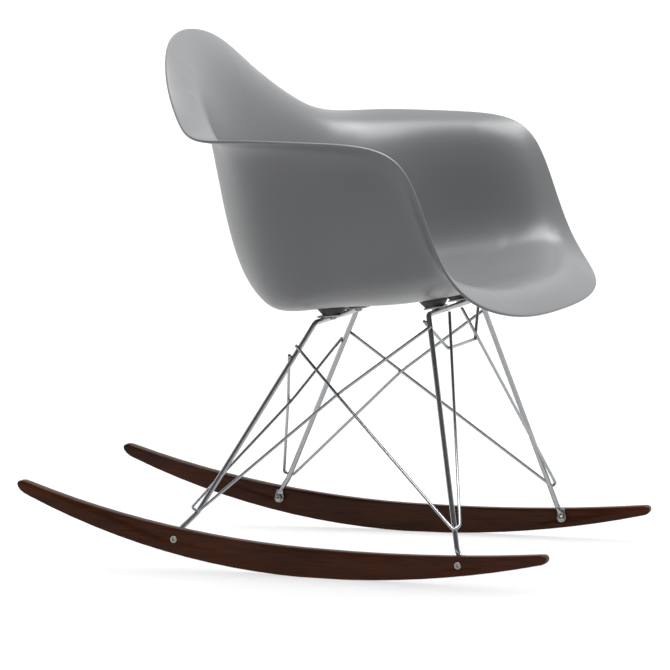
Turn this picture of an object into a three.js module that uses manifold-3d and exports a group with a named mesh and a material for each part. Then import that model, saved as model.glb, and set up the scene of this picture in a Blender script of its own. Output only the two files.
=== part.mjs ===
// A shell armchair on a wire base with two wooden rockers.
// Millimetres, +Z up, the front of the chair towards -Y, the floor at Z = 0.
import * as THREE from "three";
import { mergeVertices } from "three/addons/utils/BufferGeometryUtils.js";
import Module from "manifold-3d";

const wasm = await Module();
wasm.setup();

// ---------------------------------------------------------------- driving dimensions

// Seat shell, one moulded sheet.
const shellWidth = 632; // over the two arm rims
const shellDepth = 580; // front lip to the back's rim
const shellHeight = 393; // top of the pan to the top of the back
const shellWall = 5;
const rimBulge = 1.8; // of the rounded rim beyond the sheet's edge
const rimRows = [0.18, 0.82]; // of the way through the wall, where the rim is fullest
const panCentre = new THREE.Vector3(0, -20, 365); // lowest part of the sitting face

// Wire base.
const legWire = 7.6; // diameter of the two leg frames
const braceWire = 4.4; // diameter of the braces
const frontRailHalf = 120; // half the length of the leg frame's top bar
const rearRailHalf = 93;
const railBend = 9; // centre-line radius where a rail turns into a leg

// Rockers.
const rockerLength = 811;
const rockerThickness = 16;
const frontRadius = 1470; // of the running edge ahead of where it touches the floor
const rearRadius = 1140; // and behind
const rockerDepth = 41.5; // at the middle of the length
const rockerFrontDepth = 13;
const rockerRearDepth = 17;
const frontNose = 8; // length of the rounded tip
const rearNose = 16;
const rockerEdge = 1.4; // chamfer round both faces
const rockerGap = 455; // between the inner faces at mid length
const rockerSplay = THREE.MathUtils.degToRad(3.3); // each rocker toes out to the front
const contactY = -66; // where the rockers touch the floor
const restFlat = 64; // length of the flat worn under each rocker there

// Rocker bolts. Each is given by its place along the rocker, its height above the running edge and
// the bends of the leg over it, measured inwards, along and up from the leg's foot.
const frontBolt = { y: -274, above: 15.5, bends: [[1, 7.5, 19]] };
const rearBolt = { y: 159, above: 21, bends: [[2, -4, 14], [20, -22, 35]] };
const boltShank = 6;
const boltHead = { diameter: 11, height: 3 };
const capNut = { flats: 10, height: 8.5, hexHeight: 4.7, bore: 5.1, thread: 4.2 };
const washer = { diameter: 13, thickness: 1 };
const paddle = { width: 13, thickness: 4, shoulder: 3, rise: 13, wireFoot: 4 }; // flat end of a leg
const pressedBelowBend = 4; // a leg's inner face is flat up to this far under its first bend

// Braces. Heights are above the floor.
const braceBend = 6; // centre-line radius
const braceOverrun = 4; // how far a brace's end runs on past the wire it is welded to
const braceAtRail = 29; // from the middle plane to a front brace's weld under the front rail
const braceAtFoot = { front: 80, rear: 83 }; // height where the braces pass round the legs
const braceOnLeg = { frontEnd: 308, rearStart: 346, rearEnd: 294 };
const sideCross = new THREE.Vector3(143.5, -56, 249.5); // where the braces of one side meet
const sideCrossClearance = 0.45; // from there to each of them
const rearCross = new THREE.Vector3(0, 66, 219); // where the two rear braces meet
const rearCrossShare = 0.6; // of a brace's thickness that each rear brace keeps off the other

// A brace turns round a leg at two corners, one ahead of or behind the leg and one outside it.
// Each stands off the leg's middle by `off` times the distance between touching wires, square to
// the leg.
const wrap = {
  front: { facing: -1, past: { off: 1.42, out: 2, up: 3 }, outside: { off: 1.43, along: -2, up: -4 } },
  rear: { facing: 1, past: { off: 1.62, out: 4, up: 2 }, outside: { off: 1.49, along: -1, up: -3 } },
};

// The shallow wire that hangs between the tops of the front legs, behind the front braces.
const cradle = { belowRail: 10, drop: 47 };

// Seat mounts.
const mountX = 57;
const frontMountY = -172;
const rearMountY = -18.5;
const mountTop = 43; // rubber mount's diameter against the shell
const mountFoot = 29; // and against its plate
const rubberThickness = 9;
const railBeside = { front: 9.7, rear: 15 }; // from the screws to the rail
const plate = { width: 26, thickness: 2.6, overhang: 6, corner: 4, holeClearance: 1 };
const screwShank = 5;
const screwHead = { diameter: 10.5, height: 3.6 };
const screwWasher = { diameter: 11, thickness: 1 };
const screwEndBelow = 0.8; // from the screw's end to the top of the insert
const insert = { diameter: 9, length: 4.5, flange: 14, flangeThickness: 1.5 };

const gap = 0.3; // between pieces that touch
const boreClearance = 0.4; // between a bore and the shank in it, on the diameter

// ---------------------------------------------------------------- finishes

const finish = (name, colour, roughness, metalness) =>
  new THREE.MeshStandardMaterial({ name, color: colour, roughness, metalness });

const shellPlastic = finish("shell_plastic", "#85888a", 0.42, 0);
const chromedWire = finish("chromed_wire", "#c9cbcc", 0.18, 1);
const stainedMaple = finish("stained_maple", "#35190f", 0.35, 0);
const mountRubber = finish("mount_rubber", "#2f302c", 0.8, 0);
const zincSteel = finish("zinc_steel", "#8f918f", 0.35, 1);

// ---------------------------------------------------------------- helpers

const vec = (x, y, z) => new THREE.Vector3(x, y, z);
const chair = new THREE.Group();

function add(name, geometry, material) {
  const mesh = new THREE.Mesh(geometry, material);
  mesh.name = name;
  chair.add(mesh);
  return mesh;
}

// A closed geometry as a solid that can be joined and cut.
function solid(geometry) {
  const bare = geometry.index ? geometry.toNonIndexed() : geometry.clone();
  bare.deleteAttribute("normal");
  bare.deleteAttribute("uv");
  const merged = mergeVertices(bare, 1e-4);
  const mesh = new wasm.Mesh({
    numProp: 3,
    vertProperties: new Float32Array(merged.attributes.position.array),
    triVerts: new Uint32Array(merged.index.array),
  });
  return new wasm.Manifold(mesh);
}

function fromSolid(manifold) {
  const mesh = manifold.getMesh();
  const geometry = new THREE.BufferGeometry();
  geometry.setAttribute("position", new THREE.BufferAttribute(new Float32Array(mesh.vertProperties), 3));
  geometry.setIndex(new THREE.BufferAttribute(new Uint32Array(mesh.triVerts), 1));
  geometry.computeVertexNormals();
  return geometry;
}

// A solid of revolution about Z from [radius, z] points that start and end on the axis.
function turned(profile, sides = 16) {
  const points = profile.map(([radius, z]) => new THREE.Vector2(radius, z));
  return new THREE.LatheGeometry(points, sides).rotateX(Math.PI / 2);
}

// Turns a geometry drawn along +Z to run along a direction, then moves it to a point.
function aim(geometry, direction, point) {
  const turn = new THREE.Quaternion().setFromUnitVectors(vec(0, 0, 1), direction.clone().normalize());
  return geometry.applyQuaternion(turn).translate(point.x, point.y, point.z);
}

// ---------------------------------------------------------------- seat shell

// The sitting face is a smooth sheet drawn from the pan's centre out to the rim over these
// sections, which go from the front centre round the right-hand side to the top of the back.
// Each has six control points: pan, haunch, lower wall, upper wall, bend and rim.
// They are drawn for these overall sizes and stretched to the shell's own.
const drawn = { width: 632, depth: 580, height: 393 };
const sections = [
  // front centre
  [[0, -140, 376], [0, -215, 393], [0, -262, 404], [0, -292, 407], [0, -330, 403], [0, -350, 370]],
  // front, beside the centre
  [[75, -138, 377], [104, -212, 394], [118, -260, 406], [128, -290, 409], [140, -324, 405], [146, -347, 372]],
  // front, before the corner
  [[128, -125, 379], [168, -192, 399], [190, -245, 412], [203, -272, 418], [222, -304, 416], [233, -331, 384]],
  // front corner
  [[162, -98, 382], [208, -158, 402], [233, -212, 420], [248, -242, 432], [268, -272, 436], [286, -304, 402]],
  // foot of the arm
  [[180, -66, 382], [230, -118, 403], [257, -178, 435], [266, -220, 458], [279, -249, 474], [302, -269, 441]],
  // slope of the arm
  [[188, -38, 380], [242, -80, 402], [266, -138, 450], [272, -186, 508], [282, -226, 532], [304, -243, 508]],
  // below the arm's corner
  [[190, -18, 376], [244, -50, 400], [268, -100, 462], [275, -150, 548], [285, -196, 596], [304, -215, 592]],
  // arm's corner
  [[186, -2, 373], [240, -28, 397], [264, -62, 466], [274, -104, 568], [287, -142, 614], [310, -165, 622]],
  // middle of the arm
  [[172, 14, 369], [226, -2, 390], [252, -12, 464], [268, -30, 570], [288, -50, 616], [315, -60, 622]],
  // rear of the arm
  [[150, 32, 365], [202, 31, 387], [229, 29, 464], [247, 28, 572], [279, 30, 618], [314, 40, 624]],
  // arm into back
  [[118, 42, 363], [166, 55, 387], [195, 64, 466], [212, 71, 580], [247, 84, 624], [289, 112, 616]],
  // side of the back
  [[84, 52, 363], [126, 79, 390], [149, 98, 472], [166, 109, 600], [200, 117, 652], [237, 149, 641]],
  // shoulder
  [[52, 62, 363], [84, 97, 391], [104, 124, 480], [118, 140, 622], [150, 150, 687], [181, 188, 690]],
  // beside the top
  [[25, 70, 364], [43, 107, 392], [56, 139, 486], [66, 164, 636], [87, 180, 718], [108, 215, 746]],
  // top centre
  [[0, 72, 364], [0, 111, 392], [0, 145, 488], [0, 170, 640], [0, 195, 728], [0, 228, 760]],
];

const rings = 15; // rows of facets from the pan's centre to the rim

// The full turn of control rows: the drawn half and its mirror image.
function shellCage() {
  const stretch = vec(shellWidth / drawn.width, shellDepth / drawn.depth, shellHeight / drawn.height);
  const place = ([x, y, z]) => vec(x, y, z).sub(panCentre).multiply(stretch).add(panCentre);
  const half = sections.map((section) => {
    const outer = section.map(place);
    return [panCentre.clone(), panCentre.clone().lerp(outer[0], 0.5), ...outer];
  });
  const mirrored = half
    .slice(1, -1)
    .reverse()
    .map((row) => row.map((point) => vec(-point.x, point.y, point.z)));
  return [...half, ...mirrored];
}

// Cubic B-spline weights of four neighbours, t from 0 to 1 between the middle two.
function splineWeights(t) {
  const s = 1 - t;
  const near = (share) => 3 * share ** 3 - 6 * share ** 2 + 4;
  return [s ** 3, near(t), near(s), t ** 3].map((weight) => weight / 6);
}

// Point at t from 0 to 1 along a clamped cubic B-spline, by de Boor's rule.
function clampedSpline(points, t) {
  const spans = points.length - 3;
  const knot = (index) => THREE.MathUtils.clamp(index - 3, 0, spans);
  const u = Math.min(t * spans, spans - 1e-9);
  const span = Math.floor(u) + 3;
  const work = [0, 1, 2, 3].map((offset) => points[span - 3 + offset].clone());
  for (let level = 1; level <= 3; level += 1) {
    for (let offset = 3; offset >= level; offset -= 1) {
      const low = knot(span - 3 + offset);
      const high = knot(span + 1 + offset - level);
      work[offset].lerpVectors(work[offset - 1], work[offset], (u - low) / (high - low));
    }
  }
  return work[3];
}

// Sitting face at a fraction of the turn and a fraction of the way out to the rim.
function sittingFace(cage, turn, out) {
  const along = turn * cage.length;
  const first = Math.floor(along);
  const weights = splineWeights(along - first);
  const row = cage[0].map((_, column) => {
    const point = vec(0, 0, 0);
    weights.forEach((weight, offset) => {
      const station = (first + offset - 1 + cage.length) % cage.length;
      point.addScaledVector(cage[station][column], weight);
    });
    return point;
  });
  return clampedSpline(row, out);
}

// The sheet is meshed on a square grid wrapped round its centre. Ring k has 8k points.
function ringIndex(i, j) {
  const ring = Math.max(Math.abs(i), Math.abs(j));
  if (ring === 0) return 0;
  let step;
  if (j === -ring) step = i;
  else if (i === ring) step = 2 * ring + j;
  else if (j === ring) step = 4 * ring - i;
  else step = 6 * ring - j;
  const first = 1 + 4 * ring * (ring - 1);
  return first + ((step + 8 * ring) % (8 * ring));
}

function shellGeometry() {
  const cage = shellCage();
  const inner = [panCentre.clone()];
  for (let ring = 1; ring <= rings; ring += 1) {
    for (let step = 0; step < 8 * ring; step += 1) {
      inner.push(sittingFace(cage, step / (8 * ring), ring / rings));
    }
  }
  const faces = [];
  for (let i = -rings; i < rings; i += 1) {
    for (let j = -rings; j < rings; j += 1) {
      const a = ringIndex(i, j);
      const b = ringIndex(i + 1, j);
      const c = ringIndex(i + 1, j + 1);
      const d = ringIndex(i, j + 1);
      const outward = (i + 0.5) * (j + 0.5) > 0;
      if (outward) faces.push([a, b, c], [a, c, d]);
      else faces.push([a, b, d], [b, c, d]);
    }
  }

  const sheet = new THREE.BufferGeometry().setFromPoints(inner);
  sheet.setIndex(faces.flat());
  sheet.computeVertexNormals();
  const normals = sheet.attributes.normal;
  const outer = inner.map((point, k) =>
    point.clone().addScaledVector(vec(normals.getX(k), normals.getY(k), normals.getZ(k)), -shellWall));

  // A rounded edge closes the rim between the two faces.
  const count = inner.length;
  const rimSteps = 8 * rings;
  const rimStart = count - rimSteps;
  const edge = [];
  for (const share of rimRows) {
    for (let step = 0; step < rimSteps; step += 1) {
      const k = rimStart + step;
      const before = inner[rimStart + ((step + rimSteps - 1) % rimSteps)];
      const after = inner[rimStart + ((step + 1) % rimSteps)];
      const along = after.clone().sub(before).normalize();
      const normal = vec(normals.getX(k), normals.getY(k), normals.getZ(k));
      const away = along.cross(normal).normalize();
      edge.push(inner[k].clone().lerp(outer[k], share).addScaledVector(away, rimBulge));
    }
  }
  const edgeStarts = rimRows.map((_, row) => 2 * count + row * rimSteps);
  const rows = [rimStart, ...edgeStarts, count + rimStart];
  for (let row = 1; row < rows.length; row += 1) {
    for (let step = 0; step < rimSteps; step += 1) {
      const next = (step + 1) % rimSteps;
      const high = rows[row - 1];
      const low = rows[row];
      faces.push([high + step, low + step, high + next], [high + next, low + step, low + next]);
    }
  }
  const under = faces.slice(0, 8 * rings * rings).map(([a, b, c]) => [a + count, c + count, b + count]);
  const shell = new THREE.BufferGeometry().setFromPoints([...inner, ...outer, ...edge]);
  shell.setIndex([...faces, ...under].flat());
  shell.computeVertexNormals();
  return shell;
}

const shell = add("seat_shell", shellGeometry(), shellPlastic);

const ray = new THREE.Raycaster();

// How far the shell's underside is from a point below it, in an upward direction.
function shellAbove(point, direction) {
  ray.set(point, direction);
  return ray.intersectObject(shell)[0].distance;
}

// ---------------------------------------------------------------- seat mounts' places

// A mount's own frame leans with the shell over it: its origin is the middle of the rubber's foot
// and its Z runs up into the shell. The frame is for x = 0 and is moved sideways for each mount.
function mountFrame(y) {
  const up = vec(0, 0, 1);
  const here = shellAbove(vec(mountX, y, 0), up);
  const probe = mountTop / 3;
  const rise = shellAbove(vec(mountX, y + probe, 0), up) - shellAbove(vec(mountX, y - probe, 0), up);
  const tilt = Math.atan(rise / (2 * probe));
  const frame = new THREE.Matrix4().makeRotationX(tilt);
  const axis = vec(0, 0, 1).applyMatrix4(frame);
  return frame.setPosition(vec(0, y, here).addScaledVector(axis, -rubberThickness - gap));
}

const plateFoot = -gap - plate.thickness; // level of a plate's lower face in its mount's frame

// A rail lies against the lower face of its plates, to one side of the screws.
function railUnder(frame, offset, half) {
  const { y, z } = vec(0, offset, plateFoot - gap - legWire / 2).applyMatrix4(frame);
  return { y, z, half };
}

const frontMount = { frame: mountFrame(frontMountY), railOffset: -railBeside.front };
const rearMount = { frame: mountFrame(rearMountY), railOffset: railBeside.rear };
const frontRail = railUnder(frontMount.frame, frontMount.railOffset, frontRailHalf);
const rearRail = railUnder(rearMount.frame, rearMount.railOffset, rearRailHalf);

// ---------------------------------------------------------------- rockers

// Height of the running edge above the floor.
function runningEdge(y) {
  const radius = y < contactY ? frontRadius : rearRadius;
  const rise = (offset) => radius - Math.sqrt(radius ** 2 - offset ** 2);
  return rise(Math.max(Math.abs(y - contactY), restFlat / 2)) - rise(restFlat / 2);
}

function rockerDepthAt(y) {
  const share = y / (rockerLength / 2);
  const endDepth = y < 0 ? rockerFrontDepth : rockerRearDepth;
  return rockerDepth - (rockerDepth - endDepth) * share * share;
}

// Distance from the middle plane to a rocker's inner face.
const innerFace = (y) => rockerGap / 2 - Math.tan(rockerSplay) * y;

// A bolt's place on a rocker's inner face, on the side given by -1 or +1.
function boltPoint(bolt, side) {
  return vec(side * innerFace(bolt.y), bolt.y, runningEdge(bolt.y) + bolt.above);
}

// Outward direction across a rocker.
const acrossRocker = (side) => vec(side * Math.cos(rockerSplay), Math.sin(rockerSplay), 0);

// Half the rocker's own length. Its outer and inner edges reach the overall length together.
const rockerHalf = (rockerLength - rockerThickness * Math.sin(rockerSplay)) / 2 / Math.cos(rockerSplay);

// Points of a rounded end of the rocker, from the running edge up. The nose goes on in the
// direction that the rocker's middle line has there.
function rockerEnd(direction, length) {
  const y = direction * (rockerHalf - length);
  const middleLine = (at) => runningEdge(at) + rockerDepthAt(at) / 2;
  const slope = middleLine(y + 0.5) - middleLine(y - 0.5);
  const half = rockerDepthAt(y) / 2;
  const steps = 8;
  const points = [];
  for (let k = 0; k <= steps; k += 1) {
    const angle = THREE.MathUtils.lerp(-Math.PI / 2, Math.PI / 2, k / steps);
    const ahead = direction * length * Math.cos(angle);
    points.push(new THREE.Vector2(y + ahead, middleLine(y) + slope * ahead + half * Math.sin(angle)));
  }
  return points;
}

function rockerOutline() {
  const steps = 22;
  const flatZone = restFlat * 0.6; // no other point of the running edge is as near as this
  const rear = rockerEnd(1, rearNose);
  const front = rockerEnd(-1, frontNose).reverse();
  const upper = [];
  const lower = [];
  for (let step = 1; step < steps; step += 1) {
    const y = THREE.MathUtils.lerp(front[0].x, rear[0].x, step / steps);
    upper.unshift(new THREE.Vector2(y, runningEdge(y) + rockerDepthAt(y)));
    if (Math.abs(y - contactY) > flatZone) lower.push(new THREE.Vector2(y, runningEdge(y)));
  }
  // The flat under the contact point is one straight run of the outline.
  const flat = [-1, 1].map((end) => new THREE.Vector2(contactY + (end * restFlat) / 2, 0));
  const ahead = lower.filter((point) => point.x < contactY);
  const behind = lower.filter((point) => point.x > contactY);
  return [...ahead, ...flat, ...behind, ...rear, ...upper, ...front];
}

function rockerGeometry(side) {
  const shape = new THREE.Shape(rockerOutline());
  const blank = new THREE.ExtrudeGeometry(shape, {
    depth: rockerThickness - 2 * rockerEdge,
    bevelThickness: rockerEdge,
    bevelSize: rockerEdge,
    bevelOffset: -rockerEdge,
    bevelSegments: 1,
    curveSegments: 1,
  });
  // The outline's x becomes the chair's Y and its y the chair's Z.
  blank.applyMatrix4(new THREE.Matrix4().makeBasis(vec(0, 1, 0), vec(0, 0, 1), vec(1, 0, 0)));
  blank.translate(rockerEdge, 0, 0);
  if (side < 0) {
    blank.scale(-1, 1, 1);
    flipFaces(blank);
  }
  blank.rotateZ(side * rockerSplay);
  blank.translate((side * rockerGap) / 2, (-rockerThickness / 2) * Math.sin(rockerSplay), 0);

  let rocker = solid(blank);
  for (const bolt of [frontBolt, rearBolt]) {
    rocker = rocker.subtract(solid(boltBore(bolt, side)));
  }
  return fromSolid(rocker);
}

// Turns the faces of a mirrored geometry outwards again.
function flipFaces(geometry) {
  const position = geometry.attributes.position;
  for (let k = 0; k < position.count; k += 3) {
    const a = vec(position.getX(k), position.getY(k), position.getZ(k));
    const b = vec(position.getX(k + 1), position.getY(k + 1), position.getZ(k + 1));
    position.setXYZ(k, b.x, b.y, b.z);
    position.setXYZ(k + 1, a.x, a.y, a.z);
  }
}

// The bore for a bolt, with a counterbore for its head in the outer face.
function boltBore(bolt, side) {
  const shank = (boltShank + boreClearance) / 2;
  const head = (boltHead.diameter + boreClearance) / 2;
  const headFace = rockerThickness - boltHead.height - gap;
  const start = -boltHead.height;
  const end = rockerThickness + boltHead.height;
  const narrow = [[0, start], [shank, start], [shank, headFace]];
  const wide = [[head, headFace], [head, end], [0, end]];
  const bore = turned([...narrow, ...wide]);
  return aim(bore, acrossRocker(side), boltPoint(bolt, side));
}

const sides = [
  { side: -1, hand: "right" },
  { side: 1, hand: "left" },
];
for (const { side, hand } of sides) add(`rocker_${hand}`, rockerGeometry(side), stainedMaple);

// ---------------------------------------------------------------- bent wire

// A path of straight runs with rounded bends. Each of its nodes is one step of the sweep.
class WirePath extends THREE.Curve {
  constructor(corners, radius, bendSteps = 4) {
    super();
    this.nodes = [corners[0].clone()];
    for (let k = 1; k < corners.length - 1; k += 1) {
      const corner = corners[k];
      const back = corners[k - 1].clone().sub(corner);
      const ahead = corners[k + 1].clone().sub(corner);
      const angle = back.angleTo(ahead);
      const room = 0.45 * Math.min(back.length(), ahead.length());
      const reach = Math.min(radius / Math.tan(angle / 2), room);
      const start = corner.clone().addScaledVector(back.normalize(), reach);
      const end = corner.clone().addScaledVector(ahead.normalize(), reach);
      const bend = arcBetween(start, corner, end);
      const steps = Math.max(1, Math.ceil((bendSteps * (Math.PI - angle)) / (Math.PI / 2)));
      for (let step = 0; step <= steps; step += 1) this.nodes.push(bend(step / steps));
    }
    this.nodes.push(corners.at(-1).clone());
  }

  get steps() {
    return this.nodes.length - 1;
  }

  getPoint(t, target = vec(0, 0, 0)) {
    const place = t * this.steps;
    const node = Math.min(Math.floor(place), this.steps - 1);
    return target.lerpVectors(this.nodes[node], this.nodes[node + 1], place - node);
  }

  getPointAt(t, target) {
    return this.getPoint(t, target);
  }

  getTangentAt(t, target = vec(0, 0, 0)) {
    const node = Math.round(t * this.steps);
    const run = (from, to) => this.nodes[to].clone().sub(this.nodes[from]).normalize();
    target.set(0, 0, 0);
    if (node > 0) target.add(run(node - 1, node));
    if (node < this.steps) target.add(run(node, node + 1));
    return target.normalize();
  }
}

// Circular arc that touches both runs of a corner.
function arcBetween(start, corner, end) {
  const a = start.clone().sub(corner);
  const b = end.clone().sub(corner);
  const half = a.angleTo(b) / 2;
  const toCentre = a.clone().add(b).normalize().multiplyScalar(a.length() / Math.cos(half));
  const centre = corner.clone().add(toCentre);
  const from = start.clone().sub(centre);
  const axis = from.clone().cross(end.clone().sub(centre)).normalize();
  const sweep = Math.PI - 2 * half;
  return (t) => centre.clone().add(from.clone().applyAxisAngle(axis, sweep * t));
}

function wireGeometry(corners, diameter, bendRadius, facets, bendSteps = 4) {
  const path = new WirePath(corners, bendRadius, bendSteps);
  const points = [];
  for (let k = 0; k < facets; k += 1) {
    const angle = (2 * Math.PI * (k + 0.5)) / facets;
    points.push(new THREE.Vector2(Math.cos(angle), Math.sin(angle)).multiplyScalar(diameter / 2));
  }
  return new THREE.ExtrudeGeometry(new THREE.Shape(points), {
    steps: path.steps,
    extrudePath: path,
    curveSegments: 1,
  });
}

// ---------------------------------------------------------------- leg frames

// A leg's end stands off the rocker by half its paddle, and turns down above the bolt.
function legFoot(bolt, side) {
  const standOff = paddle.thickness / 2 + gap;
  return boltPoint(bolt, side).addScaledVector(acrossRocker(side), -standOff);
}

// Corners of a leg from its foot up to the rail's end.
function legCorners(rail, bolt, side) {
  const foot = legFoot(bolt, side);
  const offset = ([inwards, y, z]) => foot.clone().add(vec(-side * inwards, y, z));
  const top = vec(side * rail.half, rail.y, rail.z);
  return [offset([0, 0, paddle.wireFoot]), ...bolt.bends.map(offset), top];
}

// Point on the middle of a leg at a height, and the leg's direction.
function legAt(rail, bolt, side, height) {
  const [low, top] = legCorners(rail, bolt, side).slice(-2);
  return low.clone().lerp(top, (height - low.z) / (top.z - low.z));
}

function legDirection(rail, bolt, side) {
  const [low, top] = legCorners(rail, bolt, side).slice(-2);
  return top.clone().sub(low).normalize();
}

// The wire's flattened end: an upright tongue with a round toe about the bolt.
function paddleSolid(bolt, side) {
  const radius = paddle.width / 2;
  const shape = new THREE.Shape();
  shape.absarc(0, 0, radius, Math.PI, 2 * Math.PI);
  shape.lineTo(radius, paddle.shoulder);
  shape.lineTo(legWire / 2, paddle.rise);
  shape.lineTo(-legWire / 2, paddle.rise);
  shape.lineTo(-radius, paddle.shoulder);
  const tongue = new THREE.ExtrudeGeometry(shape, {
    depth: paddle.thickness,
    bevelEnabled: false,
    curveSegments: 5,
  });
  tongue.translate(0, 0, -paddle.thickness / 2);
  const across = acrossRocker(side);
  const along = vec(0, 0, 1).cross(across);
  tongue.applyMatrix4(new THREE.Matrix4().makeBasis(along, vec(0, 0, 1), across));
  const foot = legFoot(bolt, side);
  const radiusOfHole = (boltShank + boreClearance) / 2;
  const reach = paddle.width;
  const hole = turned([[0, -reach], [radiusOfHole, -reach], [radiusOfHole, reach], [0, reach]]);
  aim(hole, across, foot);
  return { tongue: solid(tongue.translate(foot.x, foot.y, foot.z)), hole: solid(hole) };
}

function legFrameGeometry(rail, bolt) {
  const right = legCorners(rail, bolt, -1);
  const left = legCorners(rail, bolt, 1);
  const wire = wireGeometry([...right, ...left.reverse()], legWire, railBend, 10);
  let frame = solid(wire);
  for (const side of [-1, 1]) {
    const { tongue, hole } = paddleSolid(bolt, side);
    // The wire is pressed flat where it becomes the tongue.
    frame = frame.add(tongue).subtract(pressedAway(bolt, side)).subtract(hole);
  }
  return fromSolid(frame);
}

// What would stand proud of the tongue: on the rocker's side as far up as the rocker reaches, and
// on the inner side below the first bend.
function pressedAway(bolt, side) {
  const foot = legFoot(bolt, side);
  const across = acrossRocker(side);
  const below = paddle.width;
  const depth = 2 * paddle.width;
  const slab = (direction, height) => {
    const block = new THREE.BoxGeometry(depth, 3 * paddle.width, height + below);
    block.translate((depth + paddle.thickness) / 2, 0, (height - below) / 2);
    block.rotateZ(Math.atan2(direction * across.y, direction * across.x));
    return solid(block.translate(foot.x, foot.y, foot.z));
  };
  const firstBend = bolt.bends[0][2];
  return slab(1, rockerDepth).add(slab(-1, firstBend - pressedBelowBend));
}

add("front_leg_frame", legFrameGeometry(frontRail, frontBolt), chromedWire);
add("rear_leg_frame", legFrameGeometry(rearRail, rearBolt), chromedWire);

// ---------------------------------------------------------------- braces

const touch = (a, b) => (a + b) / 2 + gap; // between the middles of two wires that are welded

const legs = {
  front: { rail: frontRail, bolt: frontBolt },
  rear: { rail: rearRail, bolt: rearBolt },
};

// A point beside a leg at a height, moved off it square to both the leg and the wire there.
function besideLeg(leg, side, height, wireDirection, towards) {
  const { rail, bolt } = legs[leg];
  const normal = legDirection(rail, bolt, side).cross(wireDirection).normalize();
  if (normal.dot(towards) < 0) normal.negate();
  return legAt(rail, bolt, side, height).addScaledVector(normal, touch(legWire, braceWire));
}

// The end of a brace, run on past the wire it is welded to.
function overrun(end, previous) {
  return end.clone().addScaledVector(end.clone().sub(previous).normalize(), braceOverrun);
}

// Corners of a brace round a leg's foot.
function wrapCorners(leg, side) {
  const { rail, bolt } = legs[leg];
  const { facing, past, outside } = wrap[leg];
  const foot = legAt(rail, bolt, side, braceAtFoot[leg]);
  const slope = legDirection(rail, bolt, side);
  const clear = touch(legWire, braceWire);
  const ahead = (facing * clear * past.off) / Math.sqrt(1 - slope.y ** 2);
  const out = (side * clear * outside.off) / Math.sqrt(1 - slope.x ** 2);
  return {
    past: foot.clone().add(vec(side * past.out, ahead, past.up)),
    outside: foot.clone().add(vec(out, outside.along, outside.up)),
  };
}

// Where one of a side's two braces crosses the other, on its outer or inner side.
function crossing(side, outwards) {
  const offset = braceWire / 2 + sideCrossClearance;
  return sideCross.clone().setX(side * (sideCross.x + outwards * offset));
}

const braceGeometry = (corners) => wireGeometry(corners, braceWire, braceBend, 8, 3);

// Where a front brace starts, welded under the front rail.
function frontBraceStart(side) {
  const underRail = vec(0, -0.3, -1).setLength(touch(legWire, braceWire));
  return vec(side * braceAtRail, frontRail.y, frontRail.z).add(underRail);
}

// From the front rail down round the front foot and up to the rear leg.
function frontBrace(side) {
  const start = frontBraceStart(side);
  const { past, outside } = wrapCorners("front", side);
  const cross = crossing(side, 1);
  const rise = cross.clone().sub(outside).normalize();
  const end = besideLeg("rear", side, braceOnLeg.frontEnd, rise, vec(side, 0, 0));
  return braceGeometry([start, past, outside, cross, overrun(end, cross)]);
}

// From the front leg back round the rear foot and across to the other rear leg.
function rearBrace(side) {
  const behind = vec(0, 1, 0);
  const { past, outside } = wrapCorners("rear", side);
  const cross = crossing(side, -1);
  const fall = cross.clone().sub(legAt(frontRail, frontBolt, side, braceOnLeg.rearStart)).normalize();
  const start = besideLeg("front", side, braceOnLeg.rearStart, fall, behind);
  const middle = rearCross.clone().addScaledVector(behind, side * (braceWire + gap) * rearCrossShare);
  const rise = middle.clone().sub(past).normalize();
  const end = besideLeg("rear", -side, braceOnLeg.rearEnd, rise, behind);
  return braceGeometry([overrun(start, cross), cross, outside, past, middle, overrun(end, middle)]);
}

for (const { side, hand } of sides) {
  add(`front_brace_${hand}`, frontBrace(side), chromedWire);
  add(`rear_brace_${hand}`, rearBrace(side), chromedWire);
}

function cradleGeometry() {
  const behind = vec(0, 1, 0);
  const end = (side) => {
    const start = frontBraceStart(side);
    const fall = wrapCorners("front", side).past.sub(start);
    const onBrace = start.addScaledVector(fall, -cradle.drop / fall.z);
    const square = fall.clone().cross(vec(side, 0, 0)).normalize();
    if (square.dot(behind) < 0) square.negate();
    const corner = onBrace.addScaledVector(square, touch(braceWire, braceWire));
    const height = frontRail.z - cradle.belowRail;
    const run = corner.clone().sub(legAt(frontRail, frontBolt, side, height)).normalize();
    return [overrun(besideLeg("front", side, height, run, behind), corner), corner];
  };
  return braceGeometry([...end(-1), ...end(1).reverse()]);
}

add("front_cradle_wire", cradleGeometry(), chromedWire);

// ---------------------------------------------------------------- seat mounts

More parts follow.
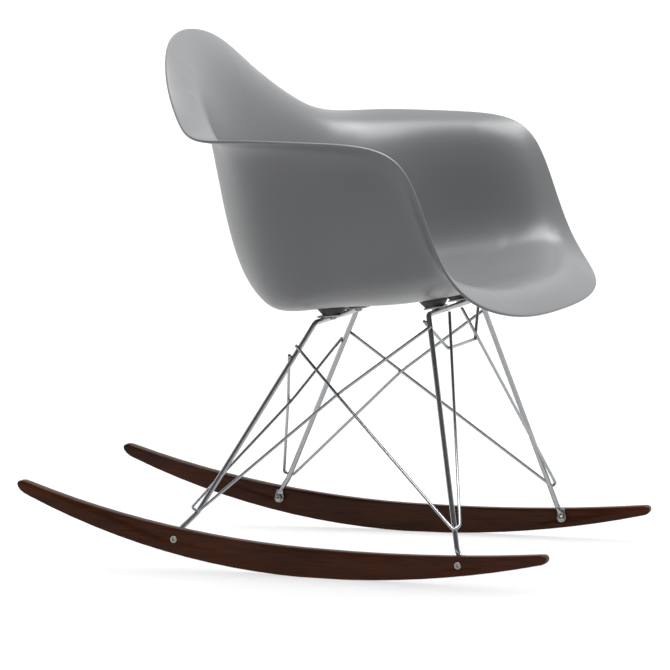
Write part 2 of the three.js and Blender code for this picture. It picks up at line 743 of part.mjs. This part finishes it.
// A rubber mount: a cone on its plate whose upper face follows the shell's underside.
function rubberMount(frame) {
  const facets = 20;
  const rows = 2;
  const up = vec(0, 0, 1).transformDirection(frame);
  const against = (x, y) => {
    const foot = vec(x, y, 0);
    return foot.setZ(shellAbove(foot.clone().applyMatrix4(frame), up) - gap);
  };
  const circle = (radius, place) => {
    const points = [];
    for (let k = 0; k < facets; k += 1) {
      const angle = (2 * Math.PI * k) / facets;
      points.push(place(radius * Math.cos(angle), radius * Math.sin(angle)));
    }
    return points;
  };
  const points = [against(0, 0)];
  for (let row = 1; row <= rows; row += 1) points.push(...circle((mountTop / 2) * (row / rows), against));
  points.push(...circle(mountFoot / 2, (x, y) => vec(x, y, 0)), vec(0, 0, 0));

  const at = (row, k) => (row === 0 ? 0 : 1 + (row - 1) * facets + (k % facets));
  const last = points.length - 1;
  const faces = [];
  for (let k = 0; k < facets; k += 1) {
    faces.push([0, at(1, k), at(1, k + 1)]);
    for (let row = 1; row <= rows; row += 1) {
      faces.push([at(row, k), at(row + 1, k), at(row + 1, k + 1)]);
      faces.push([at(row, k), at(row + 1, k + 1), at(row, k + 1)]);
    }
    faces.push([last, at(rows + 1, k + 1), at(rows + 1, k)]);
  }
  const cone = new THREE.BufferGeometry().setFromPoints(points);
  cone.setIndex(faces.flat());
  return fromSolid(solid(cone).subtract(solid(pocketGeometry())));
}

const insertHeight = insert.length + insert.flangeThickness;

// The hollow in the rubber that holds the insert.
function pocketGeometry() {
  const body = insert.diameter / 2 + gap;
  const flange = insert.flange / 2 + gap;
  const step = insert.length - gap;
  const roof = insertHeight + gap;
  const start = -insert.length;
  return turned([[0, start], [body, start], [body, step], [flange, step], [flange, roof], [0, roof]]);
}

// A solid of revolution with a hole through it, from [radius, z] points all the way round.
function turnedRing(profile) {
  const points = [...profile, profile[0]].map(([radius, z]) => new THREE.Vector2(radius, z));
  return new THREE.LatheGeometry(points, 16).rotateX(Math.PI / 2);
}

function insertGeometry() {
  const bore = (screwShank + boreClearance) / 2;
  const body = insert.diameter / 2;
  const flange = insert.flange / 2;
  return turnedRing([[bore, 0], [body, 0], [body, insert.length], [flange, insert.length],
    [flange, insertHeight], [bore, insertHeight]]);
}

function ringGeometry({ diameter, thickness }, shank) {
  const bore = (shank + boreClearance) / 2;
  const outer = diameter / 2;
  return turnedRing([[bore, 0], [outer, 0], [outer, thickness], [bore, thickness]]);
}

// The plate between rubber and rail, with rounded corners and a hole for the screw.
function plateGeometry(railOffset) {
  const reach = Math.abs(railOffset) + plate.overhang;
  const { corner } = plate;
  const low = -mountFoot / 2 + corner;
  const high = reach - corner;
  const across = plate.width / 2 - corner;
  const shape = new THREE.Shape();
  shape.absarc(across, low, corner, -Math.PI / 2, 0);
  shape.absarc(across, high, corner, 0, Math.PI / 2);
  shape.absarc(-across, high, corner, Math.PI / 2, Math.PI);
  shape.absarc(-across, low, corner, Math.PI, 1.5 * Math.PI);
  const hole = new THREE.Path();
  hole.absarc(0, 0, (screwShank + plate.holeClearance) / 2, 0, 2 * Math.PI, true);
  shape.holes.push(hole);
  const geometry = new THREE.ExtrudeGeometry(shape, {
    depth: plate.thickness,
    bevelEnabled: false,
    curveSegments: 4,
  });
  return railOffset < 0 ? geometry.rotateZ(Math.PI) : geometry;
}

// Pan-head screw from below: its head hangs from z = 0 and its shank goes up.
function screwGeometry(length) {
  const shank = screwShank / 2;
  const head = screwHead.diameter / 2;
  const steps = 3;
  const wall = 0.3; // share of the head's height that is straight
  const dome = [];
  for (let k = 0; k <= steps; k += 1) {
    const angle = (k / steps) * (Math.PI / 2);
    dome.push([head * Math.sin(angle), -screwHead.height * (wall + (1 - wall) * Math.cos(angle))]);
  }
  return turned([...dome, [head, 0], [shank, 0], [shank, length], [0, length]]);
}

function addSeatMount(mount, end, { side, hand }) {
  const frame = new THREE.Matrix4().makeTranslation(side * mountX, 0, 0).multiply(mount.frame);
  const place = (name, geometry, material, z) =>
    add(`${end}_${name}_${hand}`, geometry.translate(0, 0, z), material).applyMatrix4(frame);
  const washerZ = plateFoot - gap - screwWasher.thickness;
  const screwZ = washerZ - gap;
  const threadEnd = insertHeight - screwEndBelow;
  place("shock_mount", rubberMount(frame), mountRubber, 0);
  place("insert", insertGeometry(), zincSteel, 0);
  place("mount_plate", plateGeometry(mount.railOffset), zincSteel, plateFoot);
  place("screw_washer", ringGeometry(screwWasher, screwShank), zincSteel, washerZ);
  place("seat_screw", screwGeometry(threadEnd - screwZ), zincSteel, screwZ);
}

for (const hand of sides) {
  addSeatMount(frontMount, "front", hand);
  addSeatMount(rearMount, "rear", hand);
}

// ---------------------------------------------------------------- rocker bolts

// Flat-headed bolt: the head's outer face at z = 0 and the shank towards -z.
function boltGeometry(length) {
  const head = boltHead.diameter / 2;
  const shank = boltShank / 2;
  const chamfer = 0.6;
  const shankOutline = [[0, -length], [shank - chamfer, -length], [shank, -length + chamfer]];
  const underHead = [[shank, -boltHead.height], [head, -boltHead.height]];
  return turned([...shankOutline, ...underHead, [head, -chamfer], [head - chamfer, 0], [0, 0]]);
}

// Cap nut: a hexagon with a domed end, its open face at z = 0.
function capNutGeometry() {
  const middle = capNut.flats / 2;
  const corner = middle / Math.cos(Math.PI / 6);
  const hex = new THREE.CylinderGeometry(corner, corner, capNut.hexHeight, 6).rotateX(Math.PI / 2);
  hex.translate(0, 0, capNut.hexHeight / 2);

  const domeRadius = middle * 0.94;
  const foot = capNut.hexHeight * 0.9;
  const inside = capNut.hexHeight / 4; // the dome's solid starts inside the hexagon
  const dome = [[0, inside], [domeRadius, inside]];
  const steps = 5;
  for (let k = 0; k < steps; k += 1) {
    const angle = (k / steps) * (Math.PI / 2);
    dome.push([domeRadius * Math.cos(angle), foot + (capNut.height - foot) * Math.sin(angle)]);
  }
  dome.push([0, capNut.height]);

  const bore = (boltShank + boreClearance) / 2;
  const start = -capNut.bore;
  const hole = turned([[0, start], [bore, start], [bore, capNut.bore], [0, capNut.bore]]);
  return fromSolid(solid(hex).add(solid(turned(dome))).subtract(solid(hole)));
}

function addRockerBolt(bolt, end, { side, hand }) {
  const across = acrossRocker(side);
  const inwards = across.clone().negate();
  const face = boltPoint(bolt, side);
  const outerFace = face.clone().addScaledVector(across, rockerThickness);
  const washerFace = face.clone().addScaledVector(inwards, paddle.thickness + 2 * gap);
  const nutFace = washerFace.clone().addScaledVector(inwards, washer.thickness + gap);
  const length = outerFace.distanceTo(nutFace) + capNut.thread;
  add(`${end}_rocker_bolt_${hand}`, aim(boltGeometry(length), across, outerFace), zincSteel);
  const ring = ringGeometry(washer, boltShank);
  add(`${end}_bolt_washer_${hand}`, aim(ring, inwards, washerFace), zincSteel);
  add(`${end}_cap_nut_${hand}`, aim(capNutGeometry(), inwards, nutFace), zincSteel);
}

for (const hand of sides) {
  addRockerBolt(frontBolt, "front", hand);
  addRockerBolt(rearBolt, "rear", hand);
}

export default chair;
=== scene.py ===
"""A rocking armchair: moulded shell, chromed wire base, stained wooden rockers. Metres, +Z up."""

import math
import random

import bpy
from mathutils import Matrix, Vector
from mathutils.bvhtree import BVHTree


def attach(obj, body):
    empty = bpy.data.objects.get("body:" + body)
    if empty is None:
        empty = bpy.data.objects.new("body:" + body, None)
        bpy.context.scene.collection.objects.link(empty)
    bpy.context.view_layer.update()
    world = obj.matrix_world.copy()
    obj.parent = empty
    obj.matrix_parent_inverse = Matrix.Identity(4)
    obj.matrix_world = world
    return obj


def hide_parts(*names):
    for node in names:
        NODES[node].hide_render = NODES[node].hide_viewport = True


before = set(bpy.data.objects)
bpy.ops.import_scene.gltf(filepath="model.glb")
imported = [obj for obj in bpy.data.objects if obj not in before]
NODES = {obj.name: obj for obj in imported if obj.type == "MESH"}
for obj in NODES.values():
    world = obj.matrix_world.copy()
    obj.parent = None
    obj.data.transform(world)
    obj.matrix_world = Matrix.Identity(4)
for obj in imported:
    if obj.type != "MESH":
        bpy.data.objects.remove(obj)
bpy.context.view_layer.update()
MM = 0.001
HANDS = ("right", "left")
ENDS = ("front", "rear")
MERGE_DISTANCE = 0.01 * MM


# ------------------------------------------------------------------ tools


def deselect():
    """Leaves edit mode, if it is on, and deselects every object."""
    if bpy.context.object and bpy.context.object.mode != "OBJECT":
        bpy.ops.object.mode_set(mode="OBJECT")
    bpy.ops.object.select_all(action="DESELECT")


def only(piece):
    """Selects one object and makes it active, with nothing else selected."""
    deselect()
    piece.select_set(True)
    bpy.context.view_layer.objects.active = piece


def edit_all(piece):
    """Opens a piece in edit mode with all of it selected."""
    only(piece)
    bpy.ops.object.mode_set(mode="EDIT")
    bpy.ops.mesh.select_all(action="SELECT")


def leave_edit():
    bpy.ops.object.mode_set(mode="OBJECT")


def apply_modifier(piece, kind, **settings):
    """Adds a modifier with these settings and applies it."""
    only(piece)
    modifier = piece.modifiers.new(kind.title(), kind)
    for name, value in settings.items():
        setattr(modifier, name, value)
    bpy.ops.object.modifier_apply(modifier=modifier.name)


def copy_node(name, piece_name):
    """A merged copy of a CAD node, with its place in its mesh."""
    source = NODES[name]
    mesh = source.data.copy()
    mesh.transform(source.matrix_world)
    mesh.materials.clear()
    piece = bpy.data.objects.new(piece_name, mesh)
    bpy.context.scene.collection.objects.link(piece)
    edit_all(piece)
    bpy.ops.mesh.remove_doubles(threshold=MERGE_DISTANCE)
    leave_edit()
    return piece


def quads_from_triangles(piece):
    edit_all(piece)
    bpy.ops.mesh.tris_convert_to_quads(face_threshold=math.pi, shape_threshold=math.pi)
    leave_edit()


def merge_flat_faces(piece, degrees):
    edit_all(piece)
    bpy.ops.mesh.dissolve_limited(angle_limit=math.radians(degrees))
    leave_edit()


def smooth(piece, degrees):
    only(piece)
    bpy.ops.object.shade_smooth_by_angle(angle=math.radians(degrees))


def settle(piece, material):
    """Finishes a piece: its place goes into its mesh, and it moves with the chair."""
    only(piece)
    bpy.ops.object.transform_apply(location=True, rotation=True, scale=True)
    piece.data.materials.clear()
    piece.data.materials.append(material)
    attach(piece, "root")


# ------------------------------------------------------------------ materials


def linear(code):
    """An sRGB hex colour as a linear RGBA value."""
    channels = [int(code[k : k + 2], 16) / 255 for k in (1, 3, 5)]
    turned = [c / 12.92 if c <= 0.04045 else ((c + 0.055) / 1.055) ** 2.4 for c in channels]
    return (*turned, 1.0)


def add_node(tree, kind, inputs=None, stops=(), **settings):
    """Adds a node, sets it and its colour stops, and links or sets its inputs."""
    made = tree.nodes.new(kind)
    for name, value in settings.items():
        setattr(made, name, value)
    for index, (position, code) in enumerate(stops):
        made.color_ramp.elements[index].position = position
        made.color_ramp.elements[index].color = linear(code)
    for socket, value in (inputs or {}).items():
        if isinstance(value, bpy.types.NodeSocket):
            tree.links.new(value, made.inputs[socket])
        else:
            made.inputs[socket].default_value = value
    return made


def new_material(name, **shader_values):
    """A material with its shader's constants set. Returns it, its tree and its shader."""
    made = bpy.data.materials.new(name)
    made.use_nodes = True
    shader = made.node_tree.nodes["Principled BSDF"]
    for socket, value in shader_values.items():
        shader.inputs[socket.replace("_", " ")].default_value = value
    return made, made.node_tree, shader


def stretched(tree, across, along):
    """Object coordinates scaled so that one pattern cell is this many millimetres each way."""
    coordinates = add_node(tree, "ShaderNodeTexCoord")
    scale = (1 / (across * MM), 1 / (along * MM), 1 / (across * MM))
    mapping = add_node(tree, "ShaderNodeMapping",
                       {"Vector": coordinates.outputs["Object"], "Scale": scale})
    return mapping.outputs["Vector"]


def moulded_polypropylene():
    # Dyed-through polypropylene, injection moulded in a fine spark-eroded tool: an even grey
    # with soft, broad highlights and a grain too fine to see but enough to blur them.
    made, tree, shader = new_material("moulded_polypropylene", IOR=1.49, Roughness=0.36)
    cloud = add_node(tree, "ShaderNodeTexNoise",
                     {"Vector": stretched(tree, 180, 180), "Scale": 1.0, "Detail": 2.0})
    tones = add_node(tree, "ShaderNodeValToRGB", {"Fac": cloud.outputs["Fac"]},
                     stops=((0.3, "#565758"), (0.7, "#5b5c5d")))
    tree.links.new(tones.outputs["Color"], shader.inputs["Base Color"])
    # The tool's texture is about 0.2 mm; it is drawn at 0.8 mm so that it shows at all.
    grain = add_node(tree, "ShaderNodeTexNoise",
                     {"Vector": stretched(tree, 0.8, 0.8), "Scale": 1.0, "Detail": 1.0})
    bump = add_node(tree, "ShaderNodeBump",
                    {"Height": grain.outputs["Fac"], "Strength": 0.06, "Distance": 0.05 * MM})
    tree.links.new(bump.outputs["Normal"], shader.inputs["Normal"])
    return made


def bright_chrome():
    # Polished steel wire, nickel and chromium plated: a mirror with a faint haze that
    # softens the reflections a little.
    made, tree, shader = new_material("bright_chrome_plating", Metallic=1.0)
    haze = add_node(tree, "ShaderNodeTexNoise",
                    {"Vector": stretched(tree, 3, 3), "Scale": 1.0, "Detail": 3.0})
    tones = add_node(tree, "ShaderNodeValToRGB", {"Fac": haze.outputs["Fac"]},
                     stops=((0.3, "#989a9c"), (0.7, "#a4a6a7")))
    tree.links.new(tones.outputs["Color"], shader.inputs["Base Color"])
    roughness = add_node(tree, "ShaderNodeMapRange",
                         {"Value": haze.outputs["Fac"], "To Min": 0.2, "To Max": 0.26})
    tree.links.new(roughness.outputs["Result"], shader.inputs["Roughness"])
    return made


def stained_maple():
    # Maple bent to shape, stained red-brown and sprayed thinly with clear lacquer: a dark
    # ground with close straight grain along the length under a low sheen.
    made, tree, shader = new_material("stained_lacquered_maple", IOR=1.45, Roughness=0.5,
                                      Specular_IOR_Level=0.08, Coat_Weight=0.14,
                                      Coat_Roughness=0.12)
    grain = add_node(tree, "ShaderNodeTexNoise",
                     {"Vector": stretched(tree, 2.5, 90), "Scale": 1.0, "Detail": 5.0,
                      "Distortion": 0.4})
    figure = add_node(tree, "ShaderNodeTexNoise",
                      {"Vector": stretched(tree, 22, 160), "Scale": 1.0, "Detail": 2.0})
    mixed = add_node(tree, "ShaderNodeMath", {0: grain.outputs["Fac"], 1: figure.outputs["Fac"]})
    half = add_node(tree, "ShaderNodeMath", {0: mixed.outputs[0], 1: 0.5}, operation="MULTIPLY")
    tones = add_node(tree, "ShaderNodeValToRGB", {"Fac": half.outputs[0]},
                     stops=((0.38, "#2b1103"), (0.62, "#411d05")))
    tree.links.new(tones.outputs["Color"], shader.inputs["Base Color"])
    bump = add_node(tree, "ShaderNodeBump",
                    {"Height": grain.outputs["Fac"], "Strength": 0.12, "Distance": 0.08 * MM})
    tree.links.new(bump.outputs["Normal"], shader.inputs["Normal"])
    return made


def moulded_rubber():
    # Black rubber moulded in a blasted tool and a little bloomed: dull, with a grey-green cast.
    made, tree, shader = new_material("moulded_rubber", IOR=1.52, Roughness=0.72)
    bloom = add_node(tree, "ShaderNodeTexNoise",
                     {"Vector": stretched(tree, 6, 6), "Scale": 1.0, "Detail": 4.0})
    tones = add_node(tree, "ShaderNodeValToRGB", {"Fac": bloom.outputs["Fac"]},
                     stops=((0.3, "#22231f"), (0.7, "#31322d")))
    tree.links.new(tones.outputs["Color"], shader.inputs["Base Color"])
    bump = add_node(tree, "ShaderNodeBump",
                    {"Height": bloom.outputs["Fac"], "Strength": 0.2, "Distance": 0.1 * MM})
    tree.links.new(bump.outputs["Normal"], shader.inputs["Normal"])
    return made


def zinc_plate():
    # Bright zinc plating on turned and pressed steel: grey, satin, slightly cloudy.
    made, tree, shader = new_material("zinc_plated_steel", Metallic=1.0)
    cloud = add_node(tree, "ShaderNodeTexNoise",
                     {"Vector": stretched(tree, 1.6, 1.6), "Scale": 1.0, "Detail": 3.0})
    tones = add_node(tree, "ShaderNodeValToRGB", {"Fac": cloud.outputs["Fac"]},
                     stops=((0.3, "#8b8b88"), (0.7, "#a5a5a1")))
    tree.links.new(tones.outputs["Color"], shader.inputs["Base Color"])
    roughness = add_node(tree, "ShaderNodeMapRange",
                         {"Value": cloud.outputs["Fac"], "To Min": 0.26, "To Max": 0.42})
    tree.links.new(roughness.outputs["Result"], shader.inputs["Roughness"])
    return made


def matt_white_board():
    # White painted board, rolled: no gloss and hardly any texture.
    made, tree, shader = new_material("matt_white_board", Roughness=0.95, Specular_IOR_Level=0.1)
    cloud = add_node(tree, "ShaderNodeTexNoise",
                     {"Vector": stretched(tree, 400, 400), "Scale": 1.0, "Detail": 2.0})
    tones = add_node(tree, "ShaderNodeValToRGB", {"Fac": cloud.outputs["Fac"]},
                     stops=((0.3, "#f4f4f4"), (0.7, "#f7f7f7")))
    tree.links.new(tones.outputs["Color"], shader.inputs["Base Color"])
    return made


PLASTIC = moulded_polypropylene()
CHROME = bright_chrome()
MAPLE = stained_maple()
RUBBER = moulded_rubber()
ZINC = zinc_plate()


# ------------------------------------------------------------------ seat shell


def seat_shell():
    """The CAD sheet drawn smooth."""
    shell = copy_node("seat_shell", "shell_smooth")
    quads_from_triangles(shell)
    apply_modifier(shell, "SUBSURF", levels=2, render_levels=2)
    smooth(shell, 60)
    settle(shell, PLASTIC)
    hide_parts("seat_shell")


seat_shell()


# ------------------------------------------------------------------ rockers

ROCKER_EASE = 0.7 * MM


def rocker(hand):
    """The CAD rocker with its edges eased by sanding."""
    piece = copy_node(f"rocker_{hand}", f"rocker_eased_{hand}")
    merge_flat_faces(piece, 0.3)
    apply_modifier(piece, "BEVEL", width=ROCKER_EASE, segments=2, limit_method="ANGLE",
                   angle_limit=math.radians(25))
    smooth(piece, 28)
    settle(piece, MAPLE)
    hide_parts(f"rocker_{hand}")


for hand in HANDS:
    rocker(hand)


# ------------------------------------------------------------------ wire base

WIRE_LOSS = 0.2 * MM  # off a brace's radius when it is subdivided
WELD_REACH = 1.1 * MM  # wires that come this close are welded
WELD_SPACING = 12 * MM  # between two welds of the same pair
WELD_RADIUS = 2.5 * MM
WELD_SPREAD = (0.9, 1.15)  # no two beads are quite the same size


def leg_frame(end):
    """The CAD leg frame shaded round."""
    piece = copy_node(f"{end}_leg_frame", f"{end}_legs_round")
    smooth(piece, 42)
    settle(piece, CHROME)
    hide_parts(f"{end}_leg_frame")


def crease_ends(piece):
    """Keeps a wire's cut ends flat and in their place when it is subdivided."""
    edit_all(piece)
    bpy.context.tool_settings.mesh_select_mode = (False, True, False)
    bpy.ops.mesh.select_all(action="DESELECT")
    bpy.ops.mesh.edges_select_sharp(sharpness=math.radians(60))
    bpy.ops.transform.edge_crease(value=1)
    leave_edit()


def fatten(piece, amount):
    """Gives back the thickness that subdividing takes off."""
    edit_all(piece)
    bpy.ops.transform.shrink_fatten(value=amount)
    leave_edit()


def thin_wire(node):
    """A CAD brace drawn round, at its full thickness."""
    piece = copy_node(node, f"{node}_round")
    quads_from_triangles(piece)
    crease_ends(piece)
    apply_modifier(piece, "SUBSURF", levels=2, render_levels=2)
    fatten(piece, WIRE_LOSS)
    smooth(piece, 60)
    settle(piece, CHROME)
    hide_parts(node)


BRACES = [f"{end}_brace_{hand}" for end in ENDS for hand in HANDS]
THIN_WIRES = BRACES + ["front_cradle_wire"]
for end in ENDS:
    leg_frame(end)
for wire in THIN_WIRES:
    thin_wire(wire)


def meetings(first, second):
    """Points midway between two CAD wires wherever they are close enough to be welded."""
    mesh = NODES[first].data
    other = NODES[second]
    tree = BVHTree.FromPolygons([other.matrix_world @ v.co for v in other.data.vertices],
                                [p.vertices for p in other.data.polygons])
    found = []
    for edge in mesh.edges:
        ends = [NODES[first].matrix_world @ mesh.vertices[k].co for k in edge.vertices]
        steps = max(1, int((ends[1] - ends[0]).length / MM))
        for step in range(steps + 1):
            point = ends[0].lerp(ends[1], step / steps)
            near, _, _, distance = tree.find_nearest(point, WELD_REACH)
            if near is not None:
                found.append((distance, (point + near) / 2))
    kept = []
    for distance, point in sorted(found, key=lambda pair: pair[0]):
        if all((point - other_point).length > WELD_SPACING for other_point in kept):
            kept.append(point)
    return kept


def weld_beads():
    """A small lump of plated weld wherever two wires meet."""
    rng = random.Random(5)
    pairs = [("front_leg_frame", wire) for wire in THIN_WIRES]
    pairs += [("rear_leg_frame", wire) for wire in BRACES]
    pairs += [(f"front_brace_{hand}", f"rear_brace_{hand}") for hand in HANDS]
    pairs += [(f"front_brace_{hand}", "front_cradle_wire") for hand in HANDS]
    pairs += [("rear_brace_right", "rear_brace_left")]
    beads = []
    for first, second in pairs:
        for point in meetings(first, second):
            deselect()
            bpy.ops.mesh.primitive_ico_sphere_add(subdivisions=3, radius=WELD_RADIUS,
                                                  location=point)
            bead = bpy.context.object
            bpy.ops.object.mode_set(mode="EDIT")
            bpy.ops.transform.resize(value=[rng.uniform(*WELD_SPREAD) for _ in range(3)])
            leave_edit()
            smooth(bead, 80)
            beads.append(bead)
    deselect()
    for bead in beads:
        bead.select_set(True)
    bpy.context.view_layer.objects.active = beads[0]
    bpy.ops.object.join()
    joined = bpy.context.object
    joined.name = "weld_beads"
    settle(joined, CHROME)


weld_beads()


# ------------------------------------------------------------------ hardware

END_DEPTH = 1.1 * MM  # points this near a turned piece's end belong to the end
SOCKET_RADIUS = 2.9 * MM
SOCKET_DEPTH = 2.2 * MM
CROSS_LENGTH = 5.2 * MM
CROSS_WIDTH = 1.1 * MM
CROSS_DEPTH = 1.8 * MM


def end_centres(name, axis):
    """Middle points of a turned node's two end faces along an axis, low end first."""
    node = NODES[name]
    points = [node.matrix_world @ v.co for v in node.data.vertices]
    values = [point[axis] for point in points]
    ends = []
    for limit in (min(values), max(values)):
        near = [point for point, value in zip(points, values) if abs(value - limit) < END_DEPTH]
        close = {tuple(round(c, 6) for c in point) for point in near}
        ends.append(sum((Vector(p) for p in close), Vector()) / len(close))
    return ends


def cutter(sides, radius, depth, centre, axis):
    """A prism whose middle is at a point and whose length lies along an axis."""
    deselect()
    bpy.ops.mesh.primitive_cylinder_add(vertices=sides, radius=radius, depth=depth)
    tool = bpy.context.object
    tool.data.transform(axis.to_track_quat("Z", "Y").to_matrix().to_4x4())
    tool.data.transform(Matrix.Translation(centre))
    return tool


def cut(piece, tool):
    apply_modifier(piece, "BOOLEAN", operation="DIFFERENCE", object=tool, solver="EXACT")
    bpy.data.objects.remove(tool)


def hardware(node, material, bevel=0, recess=None):
    """A CAD fastener or mount with its edges broken by bevel, in millimetres, or a recess."""
    piece = copy_node(node, f"{node}_finished")
    merge_flat_faces(piece, 1)
    if bevel:
        apply_modifier(piece, "BEVEL", width=bevel * MM, segments=2, limit_method="ANGLE",
                       angle_limit=math.radians(40))
    if recess:
        recess(piece, node)
    smooth(piece, 35)
    settle(piece, material)
    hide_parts(node)


def hex_socket(piece, node):
    """A hexagon socket in a rocker bolt's head, on its outer end."""
    low, high = end_centres(node, 0)
    outer, inner = (low, high) if node.endswith("right") else (high, low)
    axis = (outer - inner).normalized()
    cut(piece, cutter(6, SOCKET_RADIUS, 2 * SOCKET_DEPTH, outer, axis))


def cross_recess(piece, node):
    """A cross recess in a seat screw's head, from below."""
    low, high = end_centres(node, 2)
    axis = (high - low).normalized()
    for turn in (0, 90):
        deselect()
        bpy.ops.mesh.primitive_cube_add(size=1)
        tool = bpy.context.object
        tool.data.transform(Matrix.Diagonal((CROSS_LENGTH, CROSS_WIDTH, 2 * CROSS_DEPTH, 1)))
        tool.data.transform(Matrix.Rotation(math.radians(turn), 4, "Z"))
        tool.data.transform(axis.to_track_quat("Z", "Y").to_matrix().to_4x4())
        tool.data.transform(Matrix.Translation(low))
        cut(piece, tool)


for end in ENDS:
    for hand in HANDS:
        hardware(f"{end}_shock_mount_{hand}", RUBBER, bevel=0.6)
        hardware(f"{end}_mount_plate_{hand}", ZINC, bevel=0.4)
        hardware(f"{end}_insert_{hand}", ZINC, bevel=0.2)
        hardware(f"{end}_screw_washer_{hand}", ZINC, bevel=0.15)
        hardware(f"{end}_seat_screw_{hand}", ZINC, recess=cross_recess)
        hardware(f"{end}_rocker_bolt_{hand}", ZINC, recess=hex_socket)
        hardware(f"{end}_bolt_washer_{hand}", ZINC, bevel=0.15)
        hardware(f"{end}_cap_nut_{hand}", ZINC, bevel=0.3)


# ------------------------------------------------------------------ floor, light and camera


CAMERA_AZIMUTH = math.radians(-71)
CAMERA_ELEVATION = math.radians(6.46)
CAMERA_DISTANCE = 8.636
CAMERA_TARGET = Vector((0, -0.0031, 0.317))
CAMERA_LENS = 320.6  # mm
CAMERA_SENSOR = 36  # mm
LIGHT_TARGET = Vector((0, 0, 0.45))
FLOOR_SIZE = 80
COVE_STRENGTH = 2.15
BRIGHT_WALL = 1.15
DARK_WALL = 0.15
FADE_START = -0.5  # cosine of the angle from the camera's side
FADE_END = 0.35


def floor():
    deselect()
    bpy.ops.mesh.primitive_plane_add(size=FLOOR_SIZE, location=(0, 0, 0))
    plane = bpy.context.object
    plane.name = "floor"
    plane.data.materials.append(matt_white_board())


def direction(azimuth, elevation):
    """Unit vector from the chair, azimuth 0 being straight out in front."""
    flat = math.cos(elevation)
    return Vector((math.sin(azimuth) * flat, -math.cos(azimuth) * flat, math.sin(elevation)))


def camera():
    towards = direction(CAMERA_AZIMUTH, CAMERA_ELEVATION)
    data = bpy.data.cameras.new("camera")
    data.lens = CAMERA_LENS
    data.sensor_width = CAMERA_SENSOR
    data.clip_end = 200
    view = bpy.data.objects.new("camera", data)
    bpy.context.scene.collection.objects.link(view)
    view.location = CAMERA_TARGET + CAMERA_DISTANCE * towards
    view.rotation_euler = towards.to_track_quat("Z", "Y").to_euler()
    bpy.context.scene.camera = view


def softbox(name, azimuth, elevation, distance, side, watts):
    """A square soft light that faces the seat and is flagged off the floor."""
    towards = direction(math.radians(azimuth), math.radians(elevation))
    data = bpy.data.lights.new(name, "AREA")
    data.size = side
    data.energy = watts
    light = bpy.data.objects.new(name, data)
    bpy.context.scene.collection.objects.link(light)
    light.light_linking.receiver_collection = lit
    light.location = LIGHT_TARGET + distance * towards
    light.rotation_euler = towards.to_track_quat("Z", "Y").to_euler()


def cove_light():
    """An even light from straight above that only falls on the floor."""
    stage = bpy.data.collections.new("lit_by_cove_light")
    stage.objects.link(bpy.data.objects["floor"])
    data = bpy.data.lights.new("cove_light", "SUN")
    data.energy = COVE_STRENGTH
    light = bpy.data.objects.new("cove_light", data)
    bpy.context.scene.collection.objects.link(light)
    light.light_linking.receiver_collection = stage
    light.light_linking.blocker_collection = stage
    light.location = (0, 0, 3)  # out of the way: a sun shines the same from anywhere


def studio():
    """Bright walls all round, fading to a dark one behind the camera."""
    world = bpy.data.worlds.new("studio")
    bpy.context.scene.world = world
    world.use_nodes = True
    tree = world.node_tree
    background = tree.nodes["Background"]
    coordinates = add_node(tree, "ShaderNodeTexCoord")
    dark_side = direction(CAMERA_AZIMUTH, 0)
    facing = add_node(tree, "ShaderNodeVectorMath",
                      {0: coordinates.outputs["Generated"], 1: dark_side}, operation="DOT_PRODUCT")
    fade = add_node(tree, "ShaderNodeMapRange",
                    {"Value": facing.outputs["Value"], "From Min": FADE_START, "From Max": FADE_END,
                     "To Min": BRIGHT_WALL, "To Max": DARK_WALL}, interpolation_type="SMOOTHSTEP")
    tree.links.new(fade.outputs["Result"], background.inputs["Strength"])
    background.inputs["Color"].default_value = linear("#fcfdff")


lit = bpy.data.collections.new("lit_by_softboxes")
for piece in [o for o in bpy.context.scene.objects if o.type == "MESH"]:
    lit.objects.link(piece)

floor()
camera()
studio()
cove_light()
softbox("overhead", azimuth=-60, elevation=74, distance=2.4, side=1.8, watts=105)
softbox("front_top", azimuth=30, elevation=62, distance=2.6, side=1.4, watts=58)

bpy.context.scene.view_settings.view_transform = "Standard"
